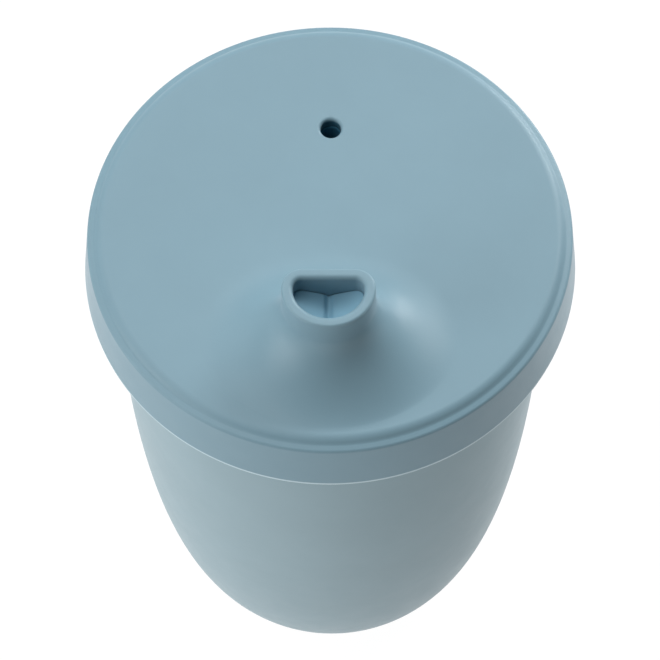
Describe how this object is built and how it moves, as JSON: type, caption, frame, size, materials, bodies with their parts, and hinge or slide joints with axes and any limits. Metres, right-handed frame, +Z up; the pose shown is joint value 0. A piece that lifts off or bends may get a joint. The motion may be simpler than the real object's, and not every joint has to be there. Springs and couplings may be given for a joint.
{
  "type": "sippy cup",
  "caption": "Handle-less toddler drinking cup with a rounded tapering body, a screw-on lid with a short D-shaped flared spout and an air hole, a sealing ring and a slit valve.",
  "frame": {"origin": "centre of the cup's base, on the surface it stands on", "axes": "+Z up the cup, -Y towards the spout, +Y towards the air hole"},
  "size_m": [0.0776, 0.0776, 0.1247],
  "materials": {
    "cup_plastic": "matte, pale grey-blue",
    "lid_plastic": "matte, soft grey-blue",
    "seal_silicone": "soft matte silicone, off-white",
    "valve_silicone": "soft matte silicone, grey-blue"
  },
  "bodies": {
    "cup": {"cup": "cup_plastic"},
    "seal": {"lid_seal": "seal_silicone"},
    "lid": {"lid": "lid_plastic"},
    "valve": {"valve": "valve_silicone"}
  },
  "joints": [
    {"name": "lid_lift", "type": "slide", "parent": "cup", "child": "seal", "axis": [0, 0, 1], "range_m": [0, 0.012]},
    {"name": "lid_turn", "type": "hinge", "parent": "seal", "child": "lid", "pos_m": [0, 0, 0.1076], "axis": [0, 0, 1], "range_deg": [0, 360]},
    {"name": "valve_pull", "type": "slide", "parent": "lid", "child": "valve", "axis": [0, 0, -1], "range_m": [0, 0.018]}
  ],
  "couplings": [
    {"joint": "lid_lift", "follows": "lid_turn", "m_per_rad": 0.0019099}
  ]
}
